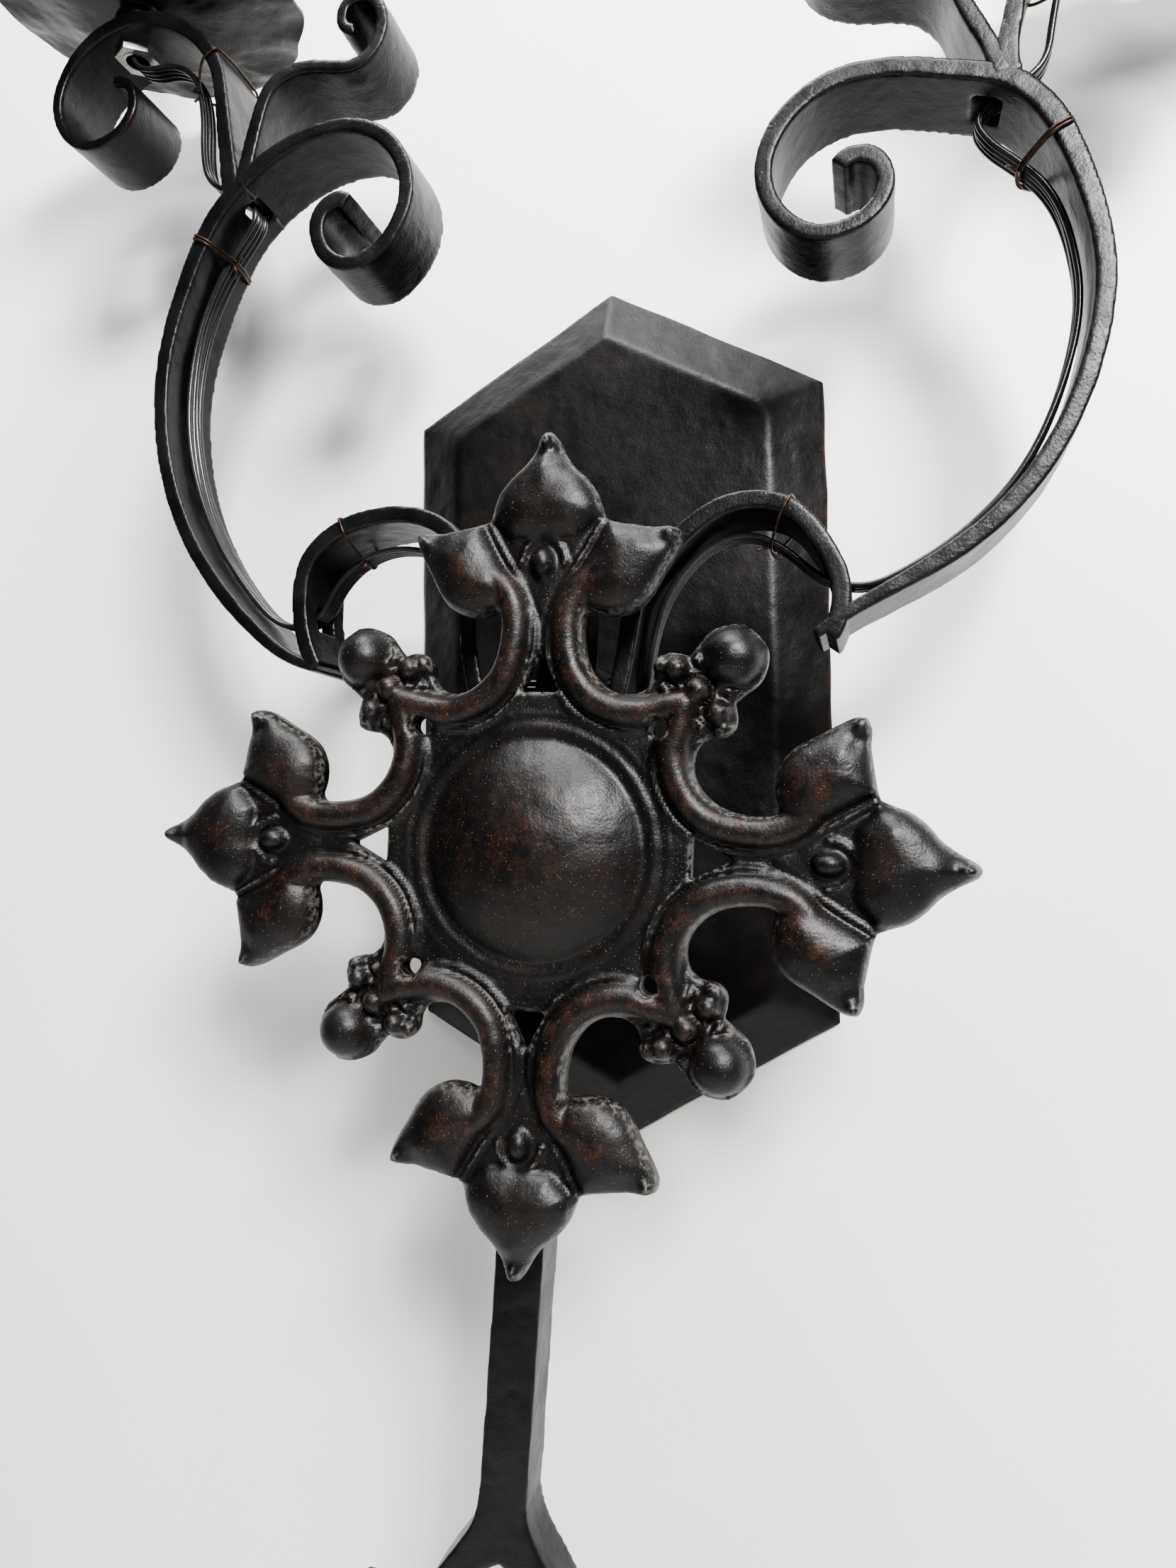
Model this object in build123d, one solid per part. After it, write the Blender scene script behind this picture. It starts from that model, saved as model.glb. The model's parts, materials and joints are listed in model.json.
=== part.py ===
from build123d import *
import math
import os

os.makedirs("parts", exist_ok=True)

# Wall sconce in millimetres. The wall is the plane Y = 0, the sconce stands out towards -Y, +Z is up.
# The origin is the middle of the mounting strap's rear face.

# backplate: a six-sided pan with pointed top and bottom
plateHalfWidth = 76.3
plateSideHeight = 112.3      # half the length of the upright sides
plateTipHeight = 154.8       # centre to either point
plateDepth = 13.0
plateBevel = 18.4
plateSheet = 1.2
plateTurn = -3.2             # degrees about +Y, as it hangs

# flat bar that the arms are forged from
barDepth = 25.4
barThick = 5.2
barThickRight = 5.5
barFront = 78.4              # distance of the bars' front edges from the wall
barBack = barFront - barDepth
barMiddle = barFront - barDepth / 2

# upright bar
stemWidth = 14.5
stemDepth = 16.0
stemLean = 0.029             # sideways run for each mm of height
stemTop = 32.0
stemFork = -246.0
stemBack = barFront - stemDepth
stemOffset = 0.3             # how far right of the middle the stem stands at height 0

# rosette
rosetteHeight = -51.2
rosetteFront = 94.8
rosetteSheet = 3.6
domeRadius = 32.0
domeRise = 13.0
ballReach = 54.3
ballRadius = 8.2
throatNear, throatFar, throatHalf = 45.4, 54.8, 4.9    # the three-cornered holes between the ribs
eyeletReach, eyeletRadius = 34.8, 2.6
boltRadius = 3.0
boltHole = 3.05
spacerRadius = 9.0

# outline of one eighth of the rosette, from the long leaf's tip to the ball on the diagonal, one list for each
# smooth stretch, as distance out along the leaf and distance to its side
leafLines = [
    [(119, 0), (117.6, 1.9), (113.0, 4.4), (108.8, 7.4), (105.6, 11.0), (101.4, 14.2), (93.6, 17.2)],
    [(93.6, 17.2), (92.6, 20.5), (90.8, 31.0), (89.6, 38.6)],
    [(89.6, 38.6), (82.3, 36.6), (72.6, 31.2), (66.7, 23.0), (67.2, 14.6), (66.4, 12.0)],
    [(66.4, 12.0), (54.2, 13.2), (45.4, 20.6), (45.4, 30.0), (52.6, 33.0), (54.8, 42.2)],
    [(54.8, 42.2), (61.4, 47.8), (63.3, 52.4), (60.6, 60.6)],
]

# wall hardware
strapLength = 114.0
strapWidth = 19.0
strapSheet = 2.0
strapNut = 3.0
groundX, groundRadius = 26.0, 1.85
slotSpacing = 88.9
slotLength = 12.0
slotRadius = 2.6
nippleRadius = 5.15
nippleBore = 4.1
nippleLength = 34.0
screwFit = 0.05              # radial gap of the pieces screwed on a nipple
plateHoleRadius = nippleRadius + 0.07
sideGap = 0.3                # between the plate and the pieces that hold it
washerRadius, washerSheet = 11.0, 1.5
canopyNut, canopyNutFlats = 4.0, 17.0
standoffRadius = 8.5
standoffFlange, flangeSheet = 2.5, 3.0
wireGate = (60, 3.4, 9.6)    # the stand-off's side holes, through X, along Y, in Z

# candle ends
candleX = {"left": -170.0, "right": 167.5}
crestTop = {"left": 230.6, "right": 227.6}
knobHeight = 10.0
knobRadius = 8.5
panRadius = 57.0
panSheet = 1.3
panDish = 6.5
cupRadius = 15.0
cupHeight = 17.0
sleeveRadius = 11.1
sleeveWall = 0.9
sleeveHeight = 101.6
nutFlats = 14.0
cupNut = 3.0
cupFloor = 3.5
shellRadius = 5.9            # inside of the lamp-base shell
shellWall = 0.5
shellDepth = 16.0

# lamp wires
wireRadius = 0.95
wirePitch = 1.96
tieRadius = 0.45


def onBack(face, near, far):
    """Extrude an XZ sketch from the distance near to the distance far in front of the wall."""
    return extrude(Plane.XZ.offset(near) * face, amount=far - near)


def tube(radius, bore, low, high):
    body = Cylinder(radius, high - low, align=(Align.CENTER, Align.CENTER, Align.MIN))
    if bore:
        body -= Cylinder(bore, high - low, align=(Align.CENTER, Align.CENTER, Align.MIN))
    return Pos(0, 0, low) * body


def outward(shape):
    """Turn a shape built along +Z so that it stands out from the wall along -Y."""
    return Rot(90, 0, 0) * shape


def polygonRod(sides, acrossFlats, bore, low, high):
    radius = acrossFlats / 2 / math.cos(math.pi / sides)
    profile = RegularPolygon(radius, sides, rotation=180 / sides)
    if bore:
        profile -= Circle(bore)
    return Pos(0, 0, low) * extrude(profile, amount=high - low)


def ribbonFace(points, thicks, samples=4):
    """A flat bar's outline seen from the front: a spline with a thickness that runs through thicks."""
    centre = Spline(*[(x, z) for x, z in points])
    count = samples * (len(points) - 1)
    left, right = [], []
    for i in range(count + 1):
        u = i / count
        place = u * (len(thicks) - 1)
        step = min(int(place), len(thicks) - 2)
        half = (thicks[step] + (place - step) * (thicks[step + 1] - thicks[step])) / 2
        spot, along = centre @ u, centre % u
        normal = Vector(-along.Y, along.X)
        left.append(spot + normal * half)
        right.append(spot - normal * half)
    sides = [Spline(*left), Line(left[-1], right[-1]), Spline(*right[::-1]), Line(right[0], left[0])]
    return make_face(Wire(sides))


def ribbon(points, thicks, near=barBack, far=barFront, samples=4):
    return onBack(ribbonFace(points, thicks, samples), near, far)


def slotAcross(spot, along, length, high, deep):
    """A hole through a flat bar: a box whose length runs along the direction given in XZ."""
    turn = math.degrees(math.atan2(along[1], along[0]))
    return Pos(spot[0], -barMiddle, spot[1]) * Rot(0, -turn, 0) * Box(length, deep, high)


def mirrored(points, side):
    sign = -1 if side == "left" else 1
    return [(sign * x, z) for x, z in points]


# centre lines of the bars, as distance from the middle and height
archLine = {
    "left": [(11.2, -64), (12, -50), (16.5, -32), (22.5, -15), (27, 0), (29.5, 14), (30, 29), (33, 40),
             (43, 48.8), (59.5, 51.2), (74, 47.6), (85.5, 37), (87.4, 25), (85.5, 13), (81, 3)],
    "right": [(8.4, -64), (9.2, -50), (12.5, -32), (16, -15), (19, 0), (20.8, 13), (23.5, 26), (32, 38),
              (43, 48), (54.6, 51.5), (66, 49), (76, 38), (80.8, 28), (81.2, 20), (78.5, 12)],
}
mainLine = {
    "left": [(81, 3.4), (93, 7.9), (104, 16), (122.5, 35.5), (136, 59), (142.6, 84), (142.9, 107),
             (136, 134), (126, 155), (116.5, 165.5), (102.5, 174.6), (88, 179), (73, 178), (60, 167),
             (57, 155), (62, 141.5), (72, 134), (82, 135.4), (87.6, 143), (87.4, 150.6), (83, 154.8), (77.8, 154)],
    "right": [(74.5, 12.5), (83, 18.5), (95, 25.5), (118.5, 41), (136.8, 64.7), (145.5, 90), (147, 113),
              (141.5, 136), (133, 154.5), (122, 165.5), (109, 169.5), (92, 173), (75, 172), (61, 162.5),
              (55.5, 148), (60, 135), (72, 127.6), (83.5, 130.2), (89.8, 138.6), (88, 146.4), (82.2, 149.4),
             (76.9, 146.6)],
}
branchLine = {
    "left": [(121, 163), (122.6, 173), (124.4, 183), (126.6, 197), (131, 210.5), (140.5, 220.5),
             (153, 227), (165, 228.4), (177.5, 224.5), (188.5, 214.7), (192.6, 201), (187.5, 190),
             (177.5, 185.4), (167, 188.8), (161.5, 197), (163.5, 205), (169.5, 206.8)],
}
branchLine["right"] = [(x - 2.5, z - 3) for x, z in branchLine["left"]]
branchLine["right"][0] = (122.5, 166)
branchLine["right"][1] = (121.2, 174)
branchLine["right"][9:] = [(183.6, 214.6), (186.2, 206.8), (182.4, 201.6), (175.2, 201.8), (171.2, 206.6), (173.8, 211.2)]
tendrilLine = {
    "left": [(118, 163), (114.6, 175), (112, 186.5), (107, 197), (98, 201), (86, 199.8), (76, 199.8),
             (69.6, 206), (68.5, 214.5), (73.5, 221.5), (81, 220.5), (82.5, 214), (78, 211.5)],
    "right": [(120, 166.5), (115, 178.5), (110, 187.5), (104.5, 198), (96, 204.5), (84, 206.5), (73, 209.5),
              (65.5, 216), (64, 225), (69, 232), (76.5, 231), (78, 224.5), (73.5, 222)],
}

# holes that let the wires through the bars: middle, direction, length, height
archHole = {"left": ((87.3, 18.6), (1, -0.5), 12, 7.0), "right": ((81, 28.6), (1, -0.25), 12, 6.4)}
crotchHole = {"left": ((121.6, 164.4), (0.82, 0.57), 22, 6.6), "right": ((120.5, 166.8), (0.87, 0.48), 24, 6.6)}

# the lamp wires' shared route along each arm, as distance from the middle and height
wireRoute = {
    "left": [(33.5, 24), (38, 36.5), (48, 42), (61, 43), (72, 38.8), (79.6, 31), (83.2, 22.5), (91, 17.2),
             (101, 19), (111.4, 29), (124, 44.5), (133.5, 64), (138.7, 86), (138.9, 108), (135, 126.5),
             (127, 142.5), (120, 152), (116, 159), (120, 163.6), (128, 168.4), (136, 173), (139, 182),
             (139.6, 199), (143.5, 212), (153, 217), (163, 216.4), (169.3, 219.5), (170, 228), (170, 245)],
    "right": [(27.8, 21), (34.5, 33.5), (43, 41.4), (54, 44.4), (64, 40), (72, 32.8), (77.5, 29.5), (87, 27.4),
              (96, 30.8), (114, 42.3), (130, 59.5), (139.4, 84), (142.9, 106), (139.6, 126), (134, 139),
              (125, 147.6), (117.6, 153.5), (113.6, 160), (118, 165.4), (126.5, 169.8), (132.5, 175.5),
              (134, 187), (136, 202), (142, 210.4), (151, 214), (160.5, 213.4), (166.8, 216.5), (167.5, 225),
              (167.5, 242)],
}
wireStart = {"left": 33.0, "right": 24.8}    # where the wires turn forward beside the arch's inner leg
exitBack = 44.0                              # distance of the stand-off's side holes from the wall

# ties: the bar, how far along it, which side of its line the wires lie, reach past the wires
tieSpots = {
    "left": [(archLine, 0.745, -1, 10.2), (mainLine, 0.505, 1, 7.3), (branchLine, 0.255, -1, 11.0)],
    "right": [(archLine, 0.7685, -1, 10.2), (mainLine, 0.495, 1, 10.8), (branchLine, 0.272, -1, 10.6)],
}


def makeBackplate():
    def outline(inset):
        slope = math.atan2(plateTipHeight - plateSideHeight, plateHalfWidth)
        half = plateHalfWidth - inset
        tip = plateTipHeight - inset / math.cos(slope)
        side = tip - math.tan(slope) * half
        return Polyline((0, tip), (half, side), (half, -side), (0, -tip), (-half, -side), (-half, side), close=True)

    def pan(inset, depth):
        rear = Plane.XZ * make_face(outline(inset))
        front = Plane.XZ.offset(depth) * make_face(outline(inset + plateBevel))
        return loft([rear.face(), front.face()])

    shell = pan(0, plateDepth) - pan(1.9 * plateSheet, plateDepth - plateSheet)
    shell -= outward(tube(plateHoleRadius, 0, 0, plateDepth + 5))
    return Rot(0, plateTurn, 0) * shell


def makeStrap():
    face = SlotOverall(strapLength, strapWidth) - Circle(nippleRadius + screwFit)
    for sign in (-1, 1):
        face -= Pos(sign * slotSpacing / 2, 0) * SlotOverall(slotLength, 2 * slotRadius)
    face -= Pos(groundX, 0) * Circle(groundRadius + screwFit)
    return onBack(face, 0, strapSheet)


def makeGroundScrew():
    head = polygonRod(6, 7.2, 0, strapSheet, strapSheet + 2.6) + tube(4.4, 0, strapSheet, strapSheet + 0.8)
    return Pos(groundX, 0, 0) * outward(head + tube(groundRadius, 0, 0, strapSheet))


def makeStandoff():
    low = washerLow + washerSheet + canopyNut
    body = tube(standoffRadius, nippleRadius + screwFit, low, stemBack)
    body += tube(standoffRadius + standoffFlange, nippleRadius + screwFit, low, low + flangeSheet)
    return outward(body) - Pos(0, -exitBack, 0) * Box(*wireGate)


def makeStem():
    def middle(z):
        return stemOffset + stemLean * z

    half = stemWidth / 2
    low = middle(stemFork)
    top = middle(stemTop)
    bar = make_face(Polyline((top - half, stemTop), (top + half, stemTop), (low + half, stemFork),
                             (low - half, stemFork), close=True))
    body = onBack(bar, stemBack, barFront)
    tail = [(3.6, 8), (4.2, 2), (6, -4), (9.2, -9.5), (13.2, -15), (18, -22), (22.5, -30), (27.5, -39), (34.5, -47),
            (44, -49.5), (51, -43.5), (49, -36), (42.5, -36)]
    web = [(-12.5, -20), (-4, 1), (4, 1), (12.5, -20), (0, -12.6)]      # fills the fork down to its crotch
    body += onBack(make_face(Polyline(*[(low + x, stemFork + z) for x, z in web], close=True)), stemBack, barFront)
    for sign in (-1, 1):
        line = [(low + sign * x, stemFork + z) for x, z in tail]
        body += ribbon(line, [7.2, 6.6, 5.6, 4.6, 3.6], stemBack, barFront)
    body -= Pos(0, 0, rosetteHeight) * outward(tube(boltHole, 0, 0, rosetteFront))
    return body


def rosetteOutline():
    """The eighth of the outline, mirrored to a quarter and turned four times about the middle."""
    edges = []
    for turn in range(4):
        c, s = [(1, 0), (0, 1), (-1, 0), (0, -1)][turn]
        eighth = [[(c * out - s * side, s * out + c * side) for out, side in line] for line in leafLines]
        other = [[(c * side - s * out, s * side + c * out) for out, side in line] for line in leafLines]
        edges += [Spline(*line) for line in eighth]
        edges += [Spline(*line[::-1]) for line in other[::-1]]
    return make_face(Wire(edges))


def makeRosette():
    plate = rosetteOutline()
    throat = make_face(Polyline((throatNear, throatHalf), (throatNear, -throatHalf), (throatFar, 0), close=True))
    for turn in range(4):
        plate -= Rot(0, 0, 90 * turn) * throat
        plate -= Rot(0, 0, 90 * turn) * Pos(eyeletReach, eyeletReach) * Circle(eyeletRadius)
    body = Pos(0, 0, rosetteFront - rosetteSheet) * extrude(plate, amount=rosetteSheet)
    bulge = (domeRadius ** 2 + domeRise ** 2) / (2 * domeRise)
    cap = Pos(0, 0, rosetteFront + domeRise - bulge) * Sphere(bulge)
    cap &= tube(domeRadius, 0, rosetteFront - 0.5, rosetteFront + domeRise)
    body += cap
    for turn in range(4):
        ball = Pos(ballReach, ballReach, rosetteFront) * Sphere(ballRadius)
        leaf = Pos(99, 0, rosetteFront - 1) * scale(Sphere(9), by=(1.3, 1.2, 0.9))
        body += Rot(0, 0, 90 * turn) * ball
        body += Rot(0, 0, 90 * turn) * leaf
    body -= tube(boltHole, 0, 0, rosetteFront)
    return Pos(0, 0, rosetteHeight) * outward(body)


def makeArch(side):
    hole, along, length, high = archHole[side]
    sign = -1 if side == "left" else 1
    thick = barThick if side == "left" else barThickRight
    body = ribbon(mirrored(archLine[side], side), [thick, thick, thick, thick])
    return body - slotAcross((sign * hole[0], hole[1]), (sign * along[0], along[1]), length, high, 11)


def makeMain(side):
    hole, along, length, high = crotchHole[side]
    sign = -1 if side == "left" else 1
    thick = barThick if side == "left" else barThickRight
    body = ribbon(mirrored(mainLine[side], side), [3.4, thick, thick, thick, thick + 0.8, thick, thick, 4.6, 5.4])
    return body - slotAcross((sign * hole[0], hole[1]), (sign * along[0], along[1]), length, high, 11)


def makeBranch(side):
    hole, along, length, high = crotchHole[side]
    sign = -1 if side == "left" else 1
    body = ribbon(mirrored(branchLine[side], side), [6.5, 5, 4.8, 4.8, 3.8, 3.4, 3.4])
    body -= slotAcross((sign * hole[0], hole[1]), (sign * along[0], along[1]), length, high, 11)
    return body - Pos(candleX[side], -barMiddle, 225) * tube(nippleRadius + screwFit, 0, -10, 20)


def makeTendril(side):
    hole, along, length, high = crotchHole[side]
    sign = -1 if side == "left" else 1
    body = ribbon(mirrored(tendrilLine[side], side), [5.5, 4.6, 4.2, 4, 3.4])
    return body - slotAcross((sign * hole[0], hole[1]), (sign * along[0], along[1]), length, high, 11)


def atCandle(side, shape):
    return Pos(candleX[side], -barMiddle, crestTop[side]) * shape


def makeKnob(side):
    """A turned ball between the scroll and the pan, with its foot cut to the scroll."""
    ring = Pos(0, 0, knobHeight / 2) * scale(Sphere(knobRadius), by=(1, 1, 0.62))
    ring &= tube(knobRadius + 1, 0, 0, knobHeight)
    ring += tube(6.6, 0, -2, 2) + tube(6.6, 0, knobHeight - 2, knobHeight)
    ring -= tube(nippleRadius + screwFit, 0, -3, knobHeight + 1)
    return atCandle(side, ring) - makeBranch(side)


def makePan():
    low = knobHeight
    floor = 24.0
    lower = [(nippleRadius + screwFit, low), (floor, low)]
    rim = [(panRadius - 6, low + panDish), (panRadius, low + panDish + 1.4)]
    under = Polyline(*lower, *rim)
    upper = Polyline((panRadius, low + panDish + 1.4 + panSheet), (panRadius - 6, low + panDish + panSheet),
                     (floor - 0.5, low + panSheet), (nippleRadius + screwFit, low + panSheet))
    join = [Line(under @ 1, upper @ 0), Line(upper @ 1, under @ 0)]
    profile = make_face(Wire([*under.edges(), join[0], *upper.edges(), join[1]]))
    return revolve(Plane.XZ * profile, Axis.Z)


def makeCup():
    low = knobHeight + panSheet
    outer = [(nippleRadius + screwFit, low), (9, low), (11.5, low + 3), (cupRadius - 1.5, low + 8),
             (cupRadius - 0.4, low + cupHeight), (cupRadius - 1.6, low + cupHeight), (cupRadius - 2.8, low + 9),
             (sleeveRadius + 0.4, low + 6), (sleeveRadius + 0.4, low + 3.5), (nippleRadius + screwFit, low + 3.5)]
    return revolve(Plane.XZ * make_face(Polyline(*outer, close=True)), Axis.Z)


nippleTop = knobHeight + panSheet + cupFloor + 6.5
socketLow = knobHeight + panSheet + cupFloor + cupNut + 0.2


def makeCupNipple():
    return tube(nippleRadius, nippleBore, -8.4, nippleTop)


def makeUnderNut(side):
    nut = atCandle(side, polygonRod(6, nutFlats, nippleRadius + screwFit, -8.2, -3.5))
    return (nut - makeBranch(side)).solids().sort_by(Axis.Z)[0]


def makeCupNut():
    low = knobHeight + panSheet + cupFloor
    return polygonRod(6, nutFlats, nippleRadius + screwFit, low, low + cupNut)


socketTop = 92.0
sleeveLow = knobHeight + panSheet + cupFloor + sideGap


def makeSocketBody():
    hollow = sleeveRadius - sleeveWall - 0.5
    body = tube(hollow, shellRadius + shellWall, socketTop - 24, socketTop)
    body += tube(hollow, 2.0, socketTop - 28, socketTop - 24)
    return body


def makeSocketPost():
    bracket = Pos(0, 0, socketLow) * Box(9.6, 12, 1.2, align=(Align.CENTER, Align.CENTER, Align.MIN))
    bracket -= tube(nippleRadius + screwFit, 0, 0, 40)
    ring = tube(nippleRadius + 1.6, nippleRadius + screwFit, socketLow, socketLow + 4.5)
    leg = Pos(0, 7.6, socketLow) * Box(4.6, 1.2, socketTop - 28 - socketLow,
                                       align=(Align.CENTER, Align.CENTER, Align.MIN))
    foot = Pos(0, 5.4, socketLow) * Box(4.6, 5.6, 1.4, align=(Align.CENTER, Align.CENTER, Align.MIN))
    foot -= tube(nippleRadius + screwFit, 0, 0, 60)
    head = Pos(0, 4.4, socketTop - 29.2) * Box(4.6, 7.6, 1.2, align=(Align.CENTER, Align.CENTER, Align.MIN))
    return ring + leg + foot + head


def makeSocketShell():
    return tube(shellRadius + shellWall, shellRadius, socketTop - shellDepth, socketTop - 0.8)


def makeSocketContact():
    return tube(2.0, 0, socketTop - 28, socketTop - 22.5) + tube(3.4, 0, socketTop - 23.4, socketTop - 22.5)


def makeSleeve():
    return tube(sleeveRadius, sleeveRadius - sleeveWall, sleeveLow, sleeveLow + sleeveHeight)


def strandPath(side, offset):
    """One strand: out of the stand-off, forward beside the arch, then along the arm at its own depth."""
    sign = -1 if side == "left" else 1
    start = wireStart[side]
    points = [(sign * 5.5, -exitBack, offset), (sign * start, -exitBack, offset),
              (sign * start, -barMiddle + offset, offset)]
    points += [(sign * x, -barMiddle + offset, z) for x, z in wireRoute[side]]
    spots = [Vector(*p) for p in points]
    radii = []
    for before, here, after in zip(spots, spots[1:], spots[2:]):
        first, second = here - before, after - here
        turn = math.radians(first.get_angle(second))
        radii.append(0.45 * min(first.length, second.length) / math.tan(turn / 2))
    return FilletPolyline(*points, radius=radii), radii


def makeWires(side):
    strands = []
    for k in range(4):
        path, radii = strandPath(side, (k - 1.5) * wirePitch)
        start = Plane(origin=path @ 0, z_dir=path % 0)
        strand = sweep(start * Circle(wireRadius), path=path)
        wanted = math.pi * wireRadius ** 2 * path.length
        print(f"wire {side} {k}: {path.length:.0f} mm, least radius {min(radii):.1f}, volume {strand.volume / wanted:.4f}")
        strands.append(strand)
    return Compound(children=strands)


def makeTies(side):
    """Soft iron wire, once round the bar and the lamp wires."""
    loops = []
    front, back = -barFront - 0.6, -barBack + 0.6
    low, high = -barMiddle - 4.9, -barMiddle + 4.9
    for lines, along, sense, wireReach in tieSpots[side]:
        bar = Spline(*lines[side])
        spot, ahead = bar @ along, bar % along
        across = Vector(-ahead.Y, ahead.X) * sense
        barReach = barThickRight / 2 + 0.75

        def at(reach, y):
            x = spot.X + across.X * reach
            return (-x if side == "left" else x, y, spot.Y + across.Y * reach)

        path = FilletPolyline(at(-barReach, front), at(-barReach, back), at(barReach, back), at(wireReach, high),
                              at(wireReach, low), at(barReach, front), radius=0.9, close=True)
        loops.append(sweep(Plane(origin=path @ 0, z_dir=path % 0) * Circle(tieRadius), path=path))
    return Compound(children=loops)


def writeNode(name, shape):
    shape.label = name
    export_step(shape, f"parts/{name}.step")


washerLow = plateDepth + sideGap
canopyNutLow = washerLow + washerSheet
boltHead, boltNut = stemBack - 7, stemBack - 4.2      # distances of the bolt's head and nut from the wall

writeNode("backplate", makeBackplate())
writeNode("mounting_strap", makeStrap())
writeNode("ground_screw", makeGroundScrew())
writeNode("wall_nipple", outward(tube(nippleRadius, nippleBore, 0, nippleLength)))
writeNode("strap_nut", outward(polygonRod(6, nutFlats, nippleRadius + screwFit, strapSheet, strapSheet + strapNut)))
writeNode("canopy_washer", outward(tube(washerRadius, nippleRadius + screwFit, washerLow, canopyNutLow)))
writeNode("canopy_nut", outward(polygonRod(6, canopyNutFlats, nippleRadius + screwFit, canopyNutLow,
                                           canopyNutLow + canopyNut)))
writeNode("standoff", makeStandoff())
writeNode("stem", makeStem())
writeNode("rosette", makeRosette())
atRosette = Pos(0, 0, rosetteHeight)
writeNode("rosette_spacer", atRosette * outward(tube(spacerRadius, boltHole, barFront, rosetteFront - rosetteSheet)))
writeNode("rosette_bolt", atRosette * outward(
    tube(boltRadius, 0, boltHead, rosetteFront) + polygonRod(6, 10, 0, boltHead, boltNut)))
writeNode("rosette_nut", atRosette * outward(polygonRod(6, 10, boltHole, boltNut, stemBack)))

for side in ("left", "right"):
    writeNode(f"arch_{side}", makeArch(side))
    writeNode(f"main_scroll_{side}", makeMain(side))
    writeNode(f"branch_scroll_{side}", makeBranch(side))
    writeNode(f"tendril_{side}", makeTendril(side))
    writeNode(f"knob_{side}", makeKnob(side))
    writeNode(f"drip_pan_{side}", atCandle(side, makePan()))
    writeNode(f"candle_cup_{side}", atCandle(side, makeCup()))
    writeNode(f"cup_nipple_{side}", atCandle(side, makeCupNipple()))
    writeNode(f"under_nut_{side}", makeUnderNut(side))
    writeNode(f"cup_nut_{side}", atCandle(side, makeCupNut()))
    writeNode(f"socket_post_{side}", atCandle(side, makeSocketPost()))
    writeNode(f"socket_body_{side}", atCandle(side, makeSocketBody()))
    writeNode(f"socket_shell_{side}", atCandle(side, makeSocketShell()))
    writeNode(f"socket_contact_{side}", atCandle(side, makeSocketContact()))
    writeNode(f"candle_sleeve_{side}", atCandle(side, makeSleeve()))
    writeNode(f"lamp_wires_{side}", makeWires(side))
    writeNode(f"tie_wires_{side}", makeTies(side))
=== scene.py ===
import bpy
import bmesh
import json
import math
import numpy as np
from mathutils import Matrix, Vector, noise


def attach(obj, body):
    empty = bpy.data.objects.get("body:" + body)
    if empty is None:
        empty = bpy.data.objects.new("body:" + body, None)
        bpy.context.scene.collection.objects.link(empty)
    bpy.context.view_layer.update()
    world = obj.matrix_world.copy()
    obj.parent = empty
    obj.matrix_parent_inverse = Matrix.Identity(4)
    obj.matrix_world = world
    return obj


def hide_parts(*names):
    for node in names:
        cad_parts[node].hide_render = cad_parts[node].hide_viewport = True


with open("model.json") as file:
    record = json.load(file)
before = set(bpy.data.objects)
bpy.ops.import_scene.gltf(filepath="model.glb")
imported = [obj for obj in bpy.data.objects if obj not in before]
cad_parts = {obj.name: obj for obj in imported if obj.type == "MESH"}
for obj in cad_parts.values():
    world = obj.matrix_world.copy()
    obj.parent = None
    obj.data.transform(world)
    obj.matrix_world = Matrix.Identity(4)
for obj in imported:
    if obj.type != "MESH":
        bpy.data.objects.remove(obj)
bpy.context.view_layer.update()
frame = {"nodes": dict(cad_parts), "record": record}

# Forged iron wall sconce. Sizes in the tables are millimetres, turned to metres by mm.
# The wall is the plane Y = 0, the sconce stands out towards -Y, +Z is up.
mm = 0.001
sides = {"left": -1, "right": 1}
nodes = frame["nodes"]
print("frame", len(nodes), "nodes")

cameraSettings = {
    "place": (0.09297, -0.38073, -0.04302),
    "turn": 15.23, "tilt": 92.13, "roll": 2.28,      # degrees
    "lens": 24.556, "sensor": 36.0,
}


def makeCamera(c):
    data = bpy.data.cameras.new("camera")
    data.lens, data.sensor_width, data.clip_start = c["lens"], c["sensor"], 0.01
    turn = Matrix.Rotation(math.radians(c["turn"]), 4, "Z")
    turn = turn @ Matrix.Rotation(math.radians(c["tilt"]), 4, "X")
    camera = bpy.data.objects.new("camera", data)
    roll = Matrix.Rotation(math.radians(c["roll"]), 4, "Z")
    camera.matrix_world = Matrix.Translation(c["place"]) @ turn @ roll
    bpy.context.scene.collection.objects.link(camera)
    bpy.context.scene.camera = camera


makeCamera(cameraSettings)


class Value:                      # an output socket that takes plain sums
    def __init__(self, graph, socket):
        self.graph, self.socket = graph, socket

    def sum(self, operation, first, second):
        return self.graph.node("ShaderNodeMath", {"operation": operation}, {0: first, 1: second})

    def also(self, name):         # another output of the same node
        return Value(self.graph, self.socket.node.outputs[name])

    def __add__(self, x):
        return self.sum("ADD", self, x)

    def __radd__(self, x):
        return self.sum("ADD", x, self)

    def __sub__(self, x):
        return self.sum("SUBTRACT", self, x)

    def __rsub__(self, x):
        return self.sum("SUBTRACT", x, self)

    def __mul__(self, x):
        return self.sum("MULTIPLY", self, x)

    def __rmul__(self, x):
        return self.sum("MULTIPLY", x, self)

    def __pow__(self, x):
        return self.sum("POWER", self, x)

    def atMost(self, x):
        return self.sum("MINIMUM", self, x)

    def rise(self, low, high):    # 0 below low, 1 above high, eased between
        return self.graph.node("ShaderNodeMapRange", {"interpolation_type": "SMOOTHSTEP"},
                               {"Value": self, "From Min": low, "From Max": high})


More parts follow.
